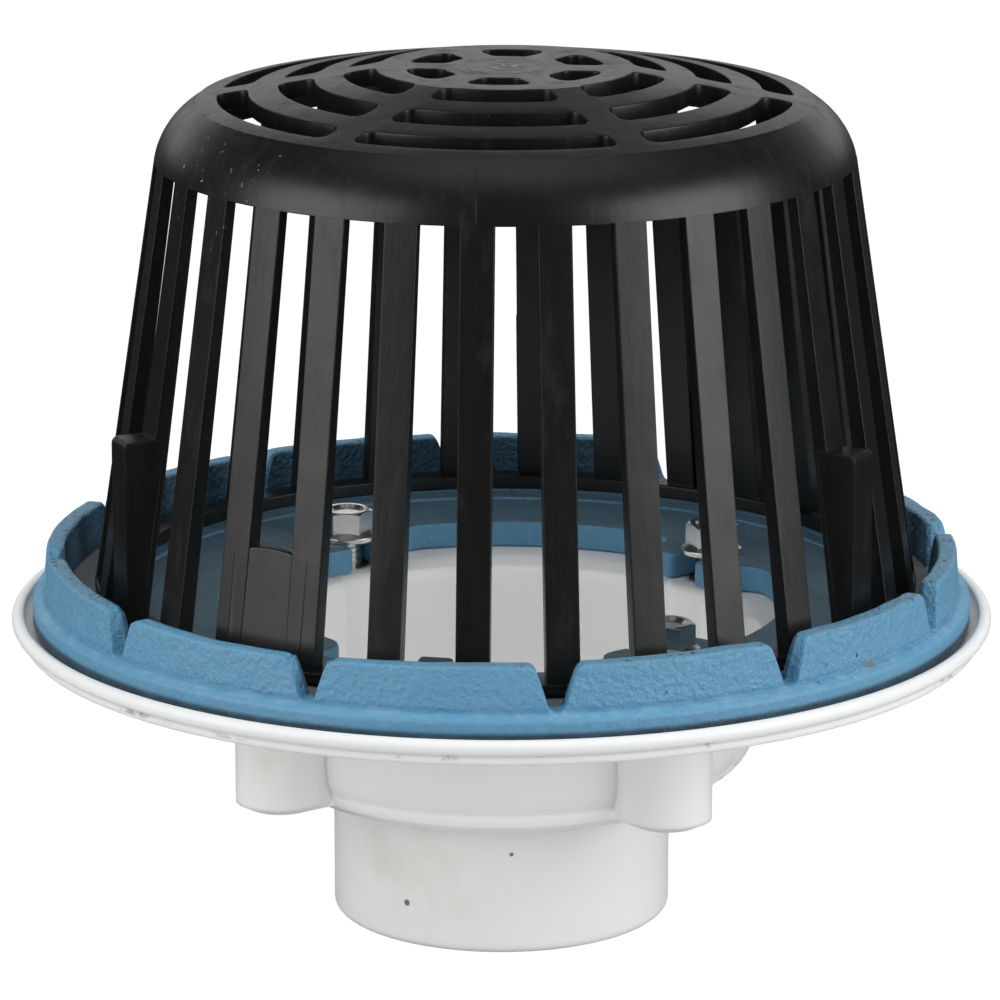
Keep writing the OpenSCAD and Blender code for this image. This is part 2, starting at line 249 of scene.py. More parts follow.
def place(piece, degrees, centre=(0, 0, 0)):
    """Turns a piece's mesh about the vertical through a centre; the operator counts the other way."""
    edit(piece)
    bpy.ops.transform.rotate(value=math.radians(-degrees), orient_axis="Z", orient_type="GLOBAL",
                             center_override=centre)
    fresh()


def copy(piece):
    """A copy of a piece with a mesh of its own."""
    pick(piece)
    bpy.ops.object.duplicate(linked=False)
    return bpy.context.object


def copies(piece, angles):
    """Turned copies that take a piece's place, joined into one object."""
    made = []
    for angle in angles:
        made.append(copy(piece))
        place(made[-1], angle)
    bpy.data.objects.remove(piece)
    return join(made)


def join(parts):
    """Joins objects into the first of them."""
    fresh()
    for part in parts:
        part.select_set(True)
    bpy.context.view_layer.objects.active = parts[0]
    bpy.ops.object.join()
    return parts[0]


def smooth(piece, angle=32):
    """Smooth shading that keeps the sharp edges, weighted by the large faces."""
    pick(piece)
    bpy.ops.object.shade_smooth_by_angle(angle=math.radians(angle))
    modify(piece, "WEIGHTED_NORMAL", keep_sharp=True, weight=50)
    piece.data.update()
    print(piece.name, "has", len(piece.data.polygons), "faces")


# %% [markdown]
# ## Which way round
#
# Pieces are drawn pointing to +X. Directions on the drain are counted in degrees from its front,
# which is -Y, towards its right, which is +X. The next helper turns a piece from one to the other.

# %% Directions
def facing(degrees):
    """The turn about Z that brings something drawn along +X to a direction counted from the front."""
    return degrees - 90


def polar(degrees, out, across=0.0):
    """Plan point so far out in a direction, and so far across it."""
    a = math.radians(degrees)
    return (out * math.sin(a) + across * math.cos(a), -out * math.cos(a) + across * math.sin(a))


def circle(name, r, z):
    """A loop round the axis, with a corner for each step of a turned piece."""
    return draw(name, [(*polar(k * 360 / turn_steps, r), z) for k in range(turn_steps)])


bolt_directions = [36.5 + 90 * k for k in range(4)]
print("bolts stand at", bolt_directions, "degrees from the front")

# %% [markdown]
# ## The clamping ring's web
#
# The ring is one iron casting. Its flat web has a round opening, with four slotted lugs that reach
# inwards under the bolts. The outline turns many corners, so it is drawn in plan as a list of
# corners with their radii. It is drawn at six heights, each grown into the metal by what the rounded
# edge asks for, and neighbouring loops are bridged. The flats above and below are filled out to a
# circle. Where a bevel would meet the flats' long thin faces and tear, this edge is round all along.

# %% Web
pan_z = ring_low.z / MM
web_top = pan_z + 8.5
land_z = web_top + 3
crown_top = ring_high.z / MM
ring_r = ring_high.x / MM
opening_r, web_r, bolt_r = 86, 102, 82
lug_half, lug_end, lug_round = 18.5, 70, 7
slot_half, slot_round = 5.75, 1.6
free_start, free_step, free_points = 19.5, 3, 18


def opening_loop(grow, z):
    """The opening's edge with its four lugs, grown into the metal by so much, as a loop at a height."""
    half, end, slot, r = lug_half - grow, lug_end + grow, slot_half + grow, opening_r + grow
    root = (math.sqrt(r ** 2 - half ** 2), half, lug_round + grow)
    tip = (end, half, lug_round - grow)
    mouth = (end, slot, slot_round - grow)
    corners = []
    for a in bolt_directions:
        corners += [(*polar(a, x, -y), corner) for x, y, corner in (root, tip, mouth)]
        corners += [(*polar(a, bolt_r + x, y), 0) for x, y in arc(0, 0, slot, -90, 90, 10)]
        corners += [(*polar(a, x, y), corner) for x, y, corner in (mouth, tip, root)]
        corners += [(*polar(a + free_start + k * free_step, r), 0) for k in range(free_points)]
    return draw("opening", [(x, y, z) for x, y in rounded(corners, steps=5)])


def cap(grow, z):
    """The flat between the opening and the web's outer circle."""
    flat = join([opening_loop(grow, z), circle("web_circle", web_r, z)])
    edit(flat)
    bpy.ops.mesh.fill(use_beauty=False)
    return flat


edge_round = [(1.3, 0), (0.38, 0.38), (0, 1.3)]
levels = [(grow, web_top - drop) for grow, drop in edge_round]
levels += [(grow, pan_z + drop) for grow, drop in reversed(edge_round)]
sheets = [cap(*levels[0]), cap(*levels[-1])]
for first, second in zip(levels, levels[1:]):
    band = join([opening_loop(*first), opening_loop(*second)])
    edit(band)
    bpy.ops.mesh.bridge_edge_loops()
    sheets.append(band)
ring = join(sheets)
ring.name = "clamping_ring"
print("web has", len(ring.data.polygons), "faces before it meets the ledge")

# %% [markdown]
# ## Ledge and land
#
# Outside the web the casting is round all over: a raised land that carries the dome, and a ledge
# with a rounded rim that presses on the flange. That is a turned shape, so its section is drawn and
# spun. It has as many steps as the web's outer circle, so the two are simply merged there.

# %% Turned part of the ring
crown_r, crown_in, draft = ring_r - 4.4, ring_r - 9.9, 1.2
dome_gap, foot_w, land_lip = 7.8, 8.5, 1.3
land_r = crown_in - dome_gap - foot_w - land_lip
ledge_under = pan_z + 1.7
base = turn("ring_base", rounded([
    (web_r, pan_z, 0), (109, pan_z, 0), (112, ledge_under, 0), (ring_r, ledge_under, 2.4),
    (ring_r, land_z - 1.3, 1.7), (crown_r + draft + 0.4, land_z, 0.9), (land_r + 1, land_z, 1.0),
    (land_r - 1, web_top, 1.3), (web_r, web_top, 0)]), closed=False)
ring = join([ring, base])
close_up(ring)
print("open edges left in the ring:", open_edges(ring))

# %% [markdown]
# ## The gravel guard
#
# Twelve broad teeth stand round the ring and keep gravel off the roof's drain. Cutting the notches
# with Booleans would leave slivers where a bevel fails. Instead a plain section is spun in many
# steps, and its columns are moved: sideways to crowd round each notch, and down to follow its V
# with a round bottom. A little noise in the height and the wall gives the hand-made sand mould,
# and the teeth at the front left came out lower than the rest.

# %% Columns of the crown
teeth, first_notch, tooth_h, root = 12, 6.5, crown_top - land_z, 4
half_pitch = 36.1
notch_side = [(0, 0), (1.2, 0.27), (2.1, 0.95), (2.75, 2.3), (3.3, 4.4), (4.2, 7.2), (5.2, 10.1),
              (6.0, 12.0), (6.6, 13.05), (7.5, 13.75), (8.8, 14.0)]
notch_end, full = notch_side[-1]
half_tooth = notch_side + [(notch_end + (half_pitch - notch_end) * k / 8, full) for k in range(1, 8)]
pitch = [(-s, h) for s, h in reversed(half_tooth[1:])] + half_tooth + [(half_pitch, full)]
columns = [(first_notch + 360 / teeth * k + s / half_pitch * 180 / teeth, h)
           for k in range(teeth) for s, h in pitch]
crown = turn("crown", [(crown_r, land_z - root), (crown_r, crown_top), (crown_in, crown_top),
                       (crown_in, land_z - root)], steps=len(columns))
print("the crown has", teeth, "teeth in", len(columns), "columns")

# %% Teeth
low_middle, low_width, low_by = -33, 24, 1.4
top_from, rough_wall, rough_top = 12, 0.25, 0.4
step = 2 * math.pi / len(columns)
for vertex in crown.data.vertices:
    spot = vertex.co.copy()
    direction, height = columns[round(math.atan2(spot.y, spot.x) / step) % len(columns)]
    outside = spot.xy.length > (crown_r - 1) * MM
    if spot.z < land_z * MM:
        height = -root
    wobble = noise.noise(Vector((direction * 0.35, height * 0.1, 3.0 if outside else 9.0)))
    lean = draft * (1 - max(height, 0) / tooth_h)
    if outside:
        out = crown_r + 0.02 + lean + rough_wall * min(wobble, 0)
    else:
        out = crown_in - lean + rough_wall * wobble
    drop = 0
    if height > top_from:
        from_low = (direction - low_middle + 180) % 360 - 180
        drop = low_by * math.exp(-(from_low / low_width) ** 2)
        drop -= min(0, rough_top * noise.noise(Vector((direction * 0.2, 0, 1))) - rough_top / 2)
    vertex.co = Vector((*polar(direction, out), land_z + height - drop)) * MM
close_up(crown)
edit(crown)
count = pick_edges(crown, lambda e: min(v.co.z for v in e.verts) > (land_z - 1) * MM
                   and abs(e.verts[0].co.xy.length - e.verts[1].co.xy.length) < 2 * MM)
bpy.ops.mesh.bevel(offset=1.0 * MM, segments=3, affect="EDGES")
fresh()
print("edges along the teeth:", count)
combine(ring, crown)

# %% [markdown]
# ## A casting pad
#
# Inside the front of the ring a small pad stands on the web, a leftover of the mould's gate. It is a
# low block with soft edges, joined with the casting.

# %% Casting pad
pad_direction, pad_half, pad_end, pad_round, pad_h = -12.5, 5, opening_r + 6, 1.2, 11.5
pad = slab("pad", [(x, y, pan_z + 1) for x, y in rounded([
    (opening_r, -pad_half, pad_round), (pad_end, -pad_half, pad_round), (pad_end, pad_half, pad_round),
    (opening_r, pad_half, pad_round)])], (0, 0, pad_h))
soften(pad, 0.8)
place(pad, facing(pad_direction))
combine(ring, pad)
smooth(ring)

# %% [markdown]
# ## The dome's top grid
#
# The strainer is one black moulding. Its top is a shallow disc cut by four rows of arc-shaped
# slots between six spokes. The slots are drawn flat as closed loops inside a circle, the space
# between them is filled, and the sheet is extruded to its thickness and bevelled while it is still
# flat, which is where bevels behave best. Only then is it laid over the dome's shallow cone.

# %% Grid
crest_z = dome_high.z / MM
shell_t, plateau_r, disc_r = 5.5, 38.7, 89
rib_direction, spokes, spoke_w, slot_corner = -4.4, 6, 10, 3
slot_rows = ((18.7, 11.3), (plateau_r, 9.6), (57, 10.7), (76.8, 9.2))


def slot_outline(inside, outside, centre, spoke=spoke_w, corner=slot_corner, sector=360 / spokes):
    """An arc-shaped slot between two spokes, its corners rounded."""
    ri, ro = inside + corner, outside - corner
    ai = sector / 2 - math.degrees(math.asin((spoke / 2 + corner) / ri))
    ao = sector / 2 - math.degrees(math.asin((spoke / 2 + corner) / ro))

    def spot(r, a):
        return (r * math.cos(math.radians(a)), r * math.sin(math.radians(a)))

    points = arc(0, 0, outside, -ao, ao, max(4, int(outside / 6)))[1:-1]
    points += arc(*spot(ro, ao), corner, ao, sector / 2 + 90, 5)
    points += arc(*spot(ri, ai), corner, sector / 2 + 90, ai + 180, 5)
    points += arc(0, 0, inside, ai, -ai, max(2, int(inside / 8)))[1:-1]
    points += arc(*spot(ri, -ai), corner, 180 - ai, 270 - sector / 2, 5)
    points += arc(*spot(ro, -ao), corner, 270 - sector / 2, 360 - ao, 5)
    return [(*polar(centre, x, y), crest_z) for x, y in points]


loops = [circle("dome_strainer", disc_r, crest_z)]
for inside, width in slot_rows:
    for k in range(spokes):
        loops.append(draw("slot", slot_outline(inside, inside + width, rib_direction + 360 / spokes * k)))
print("slots in the grid:", len(loops) - 1)
dome = join(loops)
edit(dome)
bpy.ops.mesh.fill(use_beauty=True)
bpy.ops.mesh.extrude_region_move(TRANSFORM_OT_translate={"value": (0, 0, -shell_t * MM)})
close_up(dome)
edit(dome)
wall = pick_edges(dome, lambda e: e.is_manifold and (disc_r - 1) * MM > e.verts[0].co.xy.length
                  and abs(e.link_faces[0].normal.z - e.link_faces[1].normal.z) > 0.9)
bpy.ops.mesh.bevel(offset=0.45 * MM, segments=2, affect="EDGES")
fresh()
print("slot edges bevelled:", wall)

# %% [markdown]
# ## Curve and shoulder
#
# The sheet's corners are now lowered onto a flat plateau with a shallow cone round it, and its outside
# wall is deleted. The shoulder and band are turned from an open section that ends exactly on the
# sheet's two rims. Merging the doubles closes the shell into one watertight skin. The shoulder starts
# at a fine crease, a little outside the sheet.

# %% Plateau and cone
fall = math.tan(math.radians(10.3))


def crest(r):
    """Height of the top at a radius, in millimetres: a flat plateau, then a shallow cone."""
    return crest_z - max(0, r - plateau_r) * fall


edit(dome)
shape = bmesh.from_edit_mesh(dome.data)
bpy.ops.mesh.select_mode(type="FACE")
bpy.ops.mesh.select_all(action="DESELECT")
for face in shape.faces:
    if all(abs(v.co.xy.length - disc_r * MM) < 1e-5 for v in face.verts):
        face.select_set(True)
bmesh.update_edit_mesh(dome.data)
bpy.ops.mesh.delete(type="FACE")
fresh()
for vertex in dome.data.vertices:
    r = vertex.co.xy.length / MM
    depth = (crest_z * MM - vertex.co.z) / MM
    vertex.co.z = (crest(r) - depth) * MM
print("the cone falls by", round(crest_z - crest(disc_r), 1), "mm to the sheet's rim")

# %% Shoulder and band
crease_r, shoulder_r, shoulder_x, shoulder_z = 92.5, 24, 81.4, crest_z - 31.4
band_z = crest_z - 27
band_r = shoulder_x + math.sqrt(shoulder_r ** 2 - (band_z - shoulder_z) ** 2)
crease = math.degrees(math.acos((crease_r - shoulder_x) / shoulder_r))
brink = math.degrees(math.asin((band_z - shoulder_z) / shoulder_r))
outside = [(r, crest(r)) for r in (disc_r, crease_r - 0.8, crease_r)]
outside += arc(shoulder_x, shoulder_z, shoulder_r, crease - 2, brink + 1, 14)
outside += [(band_r, band_z + 0.1), (band_r - 0.1, band_z)]
inside = [(band_r - shell_t + 0.3, band_z), (band_r - shell_t, band_z + 0.4)]
inside += arc(shoulder_x, shoulder_z, shoulder_r - shell_t, brink + 4, crease + 2, 10)
inside += [(disc_r, crest(disc_r) - shell_t)]
dome = join([dome, turn("band", outside + inside, closed=False)])
edit(dome)
bpy.ops.mesh.remove_doubles(threshold=0.02 * MM)
bpy.ops.mesh.normals_make_consistent(inside=False)
fresh()
print("open edges left in the shell:", open_edges(dome))

# %% [markdown]
# ## Ribs
#
# Thirty flat ribs slope from the foot ring up into the band. One is drawn from the side, as the
# moulder would cut it, extruded to its width and given soft edges. All thirty are turned copies of it.

# %% Ribs
foot_z, foot_r = dome_low.z / MM, crown_in - dome_gap
foot_top = foot_z + 4.2
slope = (foot_r - band_r) / (band_z - foot_top)
rib_count, rib_half, rib_foot_t, rib_top_t = 30, 4.9, 5.8, 3.5


def cone_r(z):
    """Radius of the ribs' outer faces at a height."""
    return foot_r - slope * (z - foot_top)


low, top = foot_z + 1, band_z + 4
side = [(cone_r(low) - rib_foot_t, low), (foot_r - 0.4, low), (foot_r - 0.4, foot_top + 0.3),
        (cone_r(band_z) - 0.04, band_z), (cone_r(top) - 0.9, top), (cone_r(top) - rib_top_t, top)]
rib = slab("rib", [(r, -rib_half, z) for r, z in side], (0, 2 * rib_half, 0))
soften(rib, 0.35, angle=50)
rib_pitch = 360 / rib_count
ribs = copies(rib, [facing(rib_direction + rib_pitch * k) for k in range(rib_count)])
print("ribs stand", round(2 * math.pi * band_r / rib_count - 2 * rib_half, 1), "mm apart at the band")

# %% [markdown]
# ## Foot ring, webs and stacking tabs
#
# A turned ring ties the ribs' feet. Two spaces between ribs are closed low down by a thin web with
# an arched top, and three ribs carry an upright tab on which the next dome rests when they are
# stacked. All of it is one moulding, so it is joined with the shell. The dome lies loose in the
# crown, a little to the right of the axis, so its mesh is moved there at the end.

# %% Foot ring
foot = turn("foot", rounded([(foot_r - foot_w, foot_z, 0.4), (foot_r, foot_z, 2.4), (foot_r, foot_top, 0.8),
                             (foot_r - foot_w, foot_top, 0.6)]))
print("the foot ring is", round(2 * foot_r, 1), "mm across")

# %% Webs
panel_h, panel_t, panel_half, panel_arch = 33, 3, math.pi * foot_r / rib_count, 2
panel_direction = rib_direction - 2.5 * rib_pitch
arch = [(panel_half * (1 - k / 5), foot_top + panel_h - panel_arch * (1 - k / 5) ** 2) for k in range(11)]
edge = [(-panel_half, low), (panel_half, low)] + arch
panel = slab("panel", [(cone_r(z) - 0.8, y, z) for y, z in edge], (-panel_t, 0, 0))
soften(panel, 0.5)
panels = copies(panel, [facing(panel_direction + half) for half in (0, 180)])
print("webs stand", round(foot_top + panel_h - foot_z, 1), "mm above the foot")

# %% Tabs
tab_r, tab_top, tab_half = foot_r + 1.2, foot_z + 58.5, 5.2
tab = slab("tab", [(r, -tab_half, z) for r, z in rounded([
    (cone_r(low) - rib_top_t, low, 0), (foot_r - 2.5, low, 0), (tab_r, low + 5, 2), (tab_r, tab_top, 2),
    (cone_r(tab_top) - rib_top_t, tab_top, 0.6)])], (0, 2 * tab_half, 0))
soften(tab, 1.0, segments=3, angle=50)
tabs = copies(tab, [facing(rib_direction + rib_pitch * k) for k in (-5, 5, 15)])
print("tabs stand", round(tab_top - foot_z, 1), "mm high and", round(tab_r - foot_r, 1), "mm past the foot")

# %% One moulding
seat_x = 1.2


def shift(piece, out):
    """Moves a piece's mesh along +X, in millimetres."""
    edit(piece)
    bpy.ops.transform.translate(value=(out * MM, 0, 0))
    fresh()
    return piece


for part in (foot, ribs, panels, tabs):
    combine(dome, part)
shift(dome, seat_x)
smooth(dome)

# %% [markdown]
# ## The drain body
#
# The body is one white PVC moulding: a pipe hub, a sump with a rounded bottom, and a wide flange
# with a beaded rim. All of that is turned from one closed section. The two lobes that widen the
# sump sideways and the four bolt bosses are modelled on their own and added with Booleans, and the
# lobes are then hollowed. The finish rounds the creases between them. A post goes back round each
# insert, flush with the pan. Booleans are weak where two faces lie in one plane: here they leave some
# doubled faces on the posts' tops, mostly under the ring, and the last cell counts the bad edges.

# %% Outside of the body
flange_r, rim_top = body_high.x / MM, body_high.z / MM
hub_r, hub_h, sump_r, sump_round = 51.5, 40.5, 75.5, 19
pan_r, slope_r, pan_under, pan_high = 110, 118, pan_z - 4.5, pan_z + 1.5
hollow_z, hollow_w, bead_r = rim_top - 1, 3, 2.2
rim = (arc(flange_r - 4.6, pan_high - 1.5, 1.8, -90, 20, 6) + [(flange_r - 3.1, pan_high - 0.3)]
       + arc(flange_r - bead_r, rim_top - bead_r, bead_r, -80, 130, 14))
for k in range(9):
    t = math.radians(90 * k / 8)
    rim.append((flange_r - 3.6 - hollow_w * (1 - math.cos(t)),
                hollow_z - (hollow_z - pan_high) * math.sin(t)))
body = turn("drain_body", rounded(
    [(0, 0, 0), (hub_r, 0, 2.5), (hub_r, hub_h, 1.5), (sump_r, hub_h, sump_round), (sump_r, pan_under, 4),
     (pan_r, pan_under, 2), (slope_r, pan_high - 3.3, 2)] + [(x, z, 0) for x, z in rim]
    + [(pan_r + 3, pan_high, 1), (pan_r, pan_z, 1), (0, pan_z, 0)], steps=6))
print("the flange is", round(2 * flange_r, 1), "mm across and the hub", 2 * hub_r)

# %% Lobes
lobe_x, lobe_z, lobe_r, lobe_slope, wall_t = 54, hub_h + 23, 25, 5, 4
lobe_turns = [facing(81.5), facing(261.5)]


def lobe(wall, top):
    """A bowl with sloping sides, off the axis, made smaller by a wall."""
    bowl = arc(0, lobe_z, lobe_r - wall, -90, 0, 12) + [(lobe_r + lobe_slope - wall, top), (0, top)]
    return shift(turn("lobe", bowl, steps=turn_steps // 2), lobe_x)


combine(body, copies(lobe(0, pan_under + 1), lobe_turns))
print("lobes reach", lobe_x + lobe_r + lobe_slope, "mm from the axis")

# %% Bosses
boss_bottom, boss_r, boss_top_r, boss_back, boss_round = pan_z - 44, 12.3, 13.5, -20, 3.5
bolt_turns = [facing(a) for a in bolt_directions]
plan = arc(0, 0, boss_r, -90, 90, 24) + [(boss_back, boss_r), (boss_back, -boss_r)]
boss = slab("boss", [(bolt_r + x, y, boss_bottom) for x, y in plan], (0, 0, pan_z - 2 - boss_bottom))
edit(boss)
pick_edges(boss, lambda e: all(v.co.z < (boss_bottom + 1) * MM for v in e.verts))
bpy.ops.mesh.bevel(offset=boss_round * MM, segments=5, affect="EDGES")
pick_edges(boss, lambda e: all(v.co.z > (pan_z - 3) * MM for v in e.verts))
bpy.ops.transform.resize(value=(boss_top_r / boss_r,) * 2 + (1,), center_override=(bolt_r * MM, 0, 0))
fresh()
combine(body, copies(boss, bolt_turns))
print("bosses hang", round(pan_z - boss_bottom, 1), "mm below the flange's pan")

# %% Hollow inside
socket_r, socket_h, bore_r, bore_top = 44.65, 36, 38.95, 44.5
floor_r, wall_r, mouth_r, over = 56.5, 15, 78.5, pan_z + 1
well = turn("well", [(0, -1), (socket_r, -1), (socket_r, socket_h), (bore_r, socket_h), (bore_r, bore_top)]
            + arc(floor_r, bore_top + wall_r, wall_r, -90, 0, 10)
            + arc(mouth_r, pan_z - 7, 7, 180, 90, 8) + [(mouth_r, over), (0, over)])
combine(body, well, "DIFFERENCE")
combine(body, copies(lobe(wall_t, over), lobe_turns), "DIFFERENCE")
print("the sump is hollow down to", bore_top, "mm and the pipe's socket is", socket_h, "mm deep")

# %% Posts and holes for the inserts
post = [(0, boss_bottom + 2), (boss_top_r, boss_bottom + 2), (boss_top_r, pan_z), (0, pan_z)]
combine(body, copies(shift(turn("post", post, 48), bolt_r), bolt_turns))
shank_r, insert_r, hole_z, insert_z = 5.75, 7, pan_z - 36, pan_z - 20
hole = [(0, hole_z), (shank_r, hole_z), (shank_r, insert_z), (insert_r, insert_z), (insert_r, over),
        (0, over)]
combine(body, copies(shift(turn("hole", hole, 48), bolt_r), bolt_turns), "DIFFERENCE")
print("edges of the body that don't lie between two faces:", open_edges(body))
smooth(body)

# %% [markdown]
# ## Flange bolts
#
# Four bolts clamp the ring. Each has a hexagonal head with chamfered corners and a dished top, a
# flange like a fixed washer, and a cut thread that shows in the lug's open slot. The thread is a real
# helix: the Screw modifier sweeps a small tooth round a core, one pitch for each turn.

# %% One bolt
head_z, head_top = web_top, bolt_high.z / MM
hex_r, chamfer_r, chamfer_z, dish_r, dish_z = 8.256, 6.9, head_top - 2.3, 4.4, head_top - 0.9
washer_r, washer_in, washer_z, clear_r = 9.7, 7.3, head_z + 3, 11
hexagon = [(x, y, head_z + 1) for x, y in arc(0, 0, hex_r, 0, 300, 5)]
bolt = slab("clamp_bolts", hexagon, (0, 0, head_top - head_z - 1))
combine(bolt, turn("chamfer", [(0, head_z), (clear_r, head_z), (clear_r, chamfer_z),
                               (chamfer_r, head_top + 0.02), (0, head_top + 0.02)], 64), "INTERSECT")
combine(bolt, turn("dish", [(0, dish_z), (dish_r, dish_z), (dish_r + 1.2, head_top + 0.2),
                            (0, head_top + 0.2)], 64), "DIFFERENCE")
soften(bolt, 0.25, angle=25)
combine(bolt, turn("washer", rounded([(0, head_z, 0), (washer_r, head_z, 0.3), (washer_r, head_z + 1.6, 0.5),
                                      (washer_in, washer_z, 0.8), (0, washer_z, 0)]), 64))
print("a head stands", round(head_top - head_z, 1), "mm high on a washer", 2 * washer_r, "mm across")

# %% Thread
tip_z, core_r, tooth_in, tooth_out = bolt_low.z / MM, 4.15, 4.0, 4.72
thread_pitch, turns, screw_steps = 1.5875, 19, 28
core = turn("core", rounded([(0, tip_z, 0), (core_r - 0.55, tip_z, 0), (core_r, tip_z + 0.6, 0),
                             (core_r, head_z + 1, 0), (0, head_z + 1, 0)]), 32)
thread = draw("thread", [(tooth_in, 0, tip_z + 1.2), (tooth_out, 0, tip_z + 1.8), (tooth_out, 0, tip_z + 2.0),
                         (tooth_in, 0, tip_z + 2.6)])
modify(thread, "SCREW", axis="Z", angle=2 * math.pi, screw_offset=thread_pitch * MM, iterations=turns,
       steps=screw_steps, render_steps=screw_steps, use_merge_vertices=True)
edit(thread)
bpy.ops.mesh.select_all(action="DESELECT")
bpy.ops.mesh.select_non_manifold()
bpy.ops.mesh.fill()
close_up(thread)
print("the thread has", turns, "turns in", round(turns * thread_pitch, 1), "mm")
bolt = shift(join([bolt, core, thread]), bolt_r)

# %% Four bolts
bolts = []
for bolt_turn, twist in zip(bolt_turns, (12, 40, 8, 13)):
    bolts.append(copy(bolt))
    place(bolts[-1], -twist, centre=(bolt_r * MM, 0, 0))
    place(bolts[-1], bolt_turn)
bpy.data.objects.remove(bolt)
bolts = join(bolts)
smooth(bolts, 28)

# %% [markdown]
# ## Who stands for what
#
# Each dressed piece replaces the plain solid of the same name and rides on the drain's one body. The
# brass inserts stay as they are, because they are hidden in the bosses.

# %% Replace the plain solids
for piece, node, slot in ((ring, "clamping_ring", "blue_paint"), (dome, "dome_strainer", "black_poly"),
                          (body, "drain_body", "white_pvc"), (bolts, "clamp_bolts", "zinc_plate")):
    piece.name = piece.data.name = node + "_dressed"
    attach(piece, "root")
    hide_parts(node)
    print(piece.name, "stands for", node)

# %% [markdown]
# ## Shader sums in Python
#
# A finish is built from patterns that are added, masked and mixed. Written as nodes that is a lot of
# wiring, so one small class lets them be written as sums, and one method adds any other node. A
# finish hands out places on its piece in millimetres, so its masks can use the sizes from above.

# %% Values
class Value:
    """A number, colour or vector that runs through a set of nodes."""

    def __init__(self, nodes, socket):
        self.nodes, self.socket = nodes, socket

    def math(self, operation, other, flip=False):
        """A Math node on this value and another, in that order unless flipped."""
        pair = [other, self] if flip else [self, other]
        return self.nodes.node("ShaderNodeMath", {"operation": operation}, dict(enumerate(pair)))

    def __add__(self, other):
        return self.math("ADD", other)

    def __radd__(self, other):
        return self.math("ADD", other, True)

    def __sub__(self, other):
        return self.math("SUBTRACT", other)

    def __rsub__(self, other):
        return self.math("SUBTRACT", other, True)

    def __mul__(self, other):
        return self.math("MULTIPLY", other)

    def __rmul__(self, other):
        return self.math("MULTIPLY", other, True)

    def __pow__(self, other):
        return self.math("POWER", other)


print("methods of a value:", [name for name in vars(Value) if callable(getattr(Value, name))])

# %% Nodes
class Nodes:
    """The nodes of one material or of the world."""

    def __init__(self, tree):
        self.tree = tree

    def node(self, kind, settings=None, inputs=None, output=0):
        """Adds a node: its settings first, then the values or links of its sockets."""
        made = self.tree.nodes.new(kind)
        for key, setting in (settings or {}).items():
            setattr(made, key, setting)
        for key, value in (inputs or {}).items():
            if isinstance(value, Value):
                self.tree.links.new(value.socket, made.inputs[key])
            else:
                made.inputs[key].default_value = value
        return Value(self, made.outputs[output])

    def ease(self, value, low, high):
        """0 below low, 1 above high, smooth between; the other way round if low is above high."""
        levels = {3: 1.0, 4: 0.0} if low > high else {3: 0.0, 4: 1.0}
        return self.node("ShaderNodeMapRange", {"interpolation_type": "SMOOTHSTEP"},
                         {0: value, 1: min(low, high), 2: max(low, high), **levels})

    def span(self, value, start, full, fading, gone):
        """0 up to start, 1 from full to fading, and 0 again from gone on."""
        return self.ease(value, start, full) * self.ease(value, gone, fading)


print("methods of nodes:", [name for name in vars(Nodes) if callable(getattr(Nodes, name))])

# %% Finishes
class Finish(Nodes):
    """A material made of one Principled shader and the patterns that feed it."""

    def __init__(self, name, **constants):
        self.material = bpy.data.materials.new(name)
        self.material.use_nodes = True
        super().__init__(self.material.node_tree)
        self.shader = self.tree.nodes["Principled BSDF"]
        for key, number in constants.items():
            self.shader.inputs[key.replace("_", " ")].default_value = number
        self.where = self.node("ShaderNodeTexCoord", output="Object")
        self.x, self.y, self.z = (self.part(self.where, k) * (1 / MM) for k in range(3))
        self.radius = (self.x * self.x + self.y * self.y) ** 0.5

    def part(self, vector, k):
        """One of the three numbers of a vector."""
        return self.node("ShaderNodeSeparateXYZ", {}, {0: vector}, k)

    def noise(self, scale, detail=3, roughness=0.5, stretch=None):
        """A cloudy pattern from 0 to 1 with so many clouds to the metre, drawn out if it is stretched."""
        at = self.where
        if stretch:
            at = self.node("ShaderNodeMapping", {}, {"Vector": at, "Scale": stretch})
        return self.node("ShaderNodeTexNoise", {},
                         {"Vector": at, "Scale": scale, "Detail": detail, "Roughness": roughness})

    def near(self, spot, reach):
        """1 at a spot given in millimetres, fading to 0 at reach."""
        far = self.node("ShaderNodeVectorMath", {"operation": "DISTANCE"},
                        {0: self.where, 1: Vector(spot) * MM}, "Value")
        return self.ease(far, reach * MM, reach * 0.55 * MM)

    def mix(self, factor, first, second):
        """From the first colour to the second as the factor goes from 0 to 1."""
        first, second = (c if isinstance(c, Value) else (*c, 1.0) for c in (first, second))
        return self.node("ShaderNodeMix", {"data_type": "RGBA"}, {0: factor, 6: first, 7: second}, 2)

    def rounded_edges(self, radius, samples):
        """A normal that rounds corners and creases by a radius in millimetres."""
        return self.node("ShaderNodeBevel", {"samples": samples}, {"Radius": radius * MM})

    def bump(self, height, depth, strength=1.0, normal=None):
        """A bump from a height of 0 to 1 that stands depth millimetres high."""
        inputs = {"Height": height, "Distance": depth * MM, "Strength": strength}
        if normal:
            inputs["Normal"] = normal
        return self.node("ShaderNodeBump", {}, inputs)

    def feed(self, name, value):
        """Links a value to one of the shader's sockets."""
        self.tree.links.new(value.socket, self.shader.inputs[name])


def coat(piece, finish):
    """Gives a piece one finish and no other."""
    piece.data.materials.clear()
    piece.data.materials.append(finish.material)
    print(piece.name, "wears", finish.material.name, "with", len(finish.tree.nodes), "nodes")


print("materials before the first finish:", [m.name for m in bpy.data.materials])
